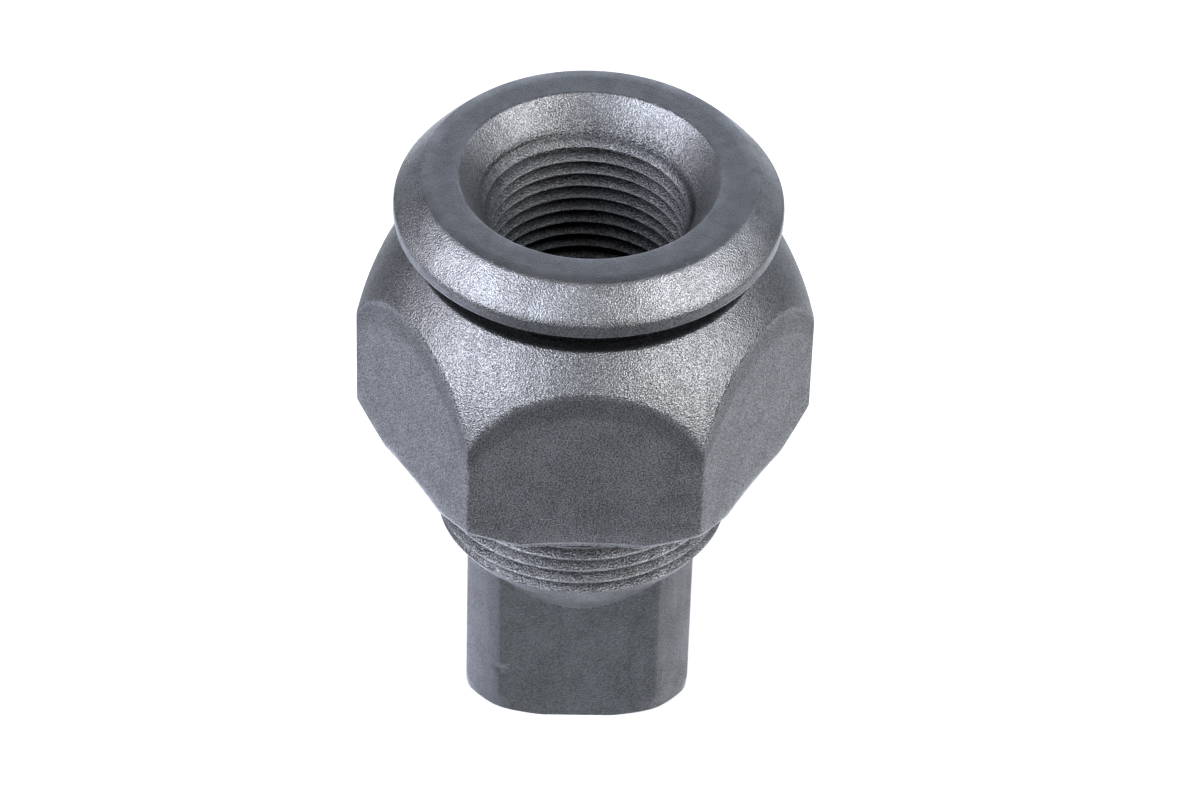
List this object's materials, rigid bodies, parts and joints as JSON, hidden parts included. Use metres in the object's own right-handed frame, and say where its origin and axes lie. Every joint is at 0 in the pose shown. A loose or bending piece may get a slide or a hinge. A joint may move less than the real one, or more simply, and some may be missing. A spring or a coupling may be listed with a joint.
{
  "type": "lug nut",
  "caption": "Wheel nut for twin wheels: a flanged sleeve with a square end, and a ball-seat hexagon nut that runs on its outer thread.",
  "frame": {"origin": "centre of the square end's face, on which the nut stands", "axes": "+Z along the thread axis towards the flange and the stud hole's mouth; two flats of the hexagon and of the square face -Y and +Y"},
  "size_m": [0.0438, 0.0382, 0.0603],
  "materials": {
    "coated_steel_sleeve": "matt dark grey coat with a fine metallic grain on turned steel",
    "coated_steel_nut": "matt dark grey coat with a fine metallic grain on forged steel"
  },
  "bodies": {
    "sleeve": {"inner_nut": "coated_steel_sleeve"},
    "hexagon": {"outer_nut": "coated_steel_nut"}
  },
  "joints": [
    {"name": "outer_nut_turn", "type": "hinge", "parent": "sleeve", "child": "hexagon", "pos_m": [0, 0, 0.0416], "axis": [0, 0, 1], "range_deg": [-7833, 744]}
  ]
}
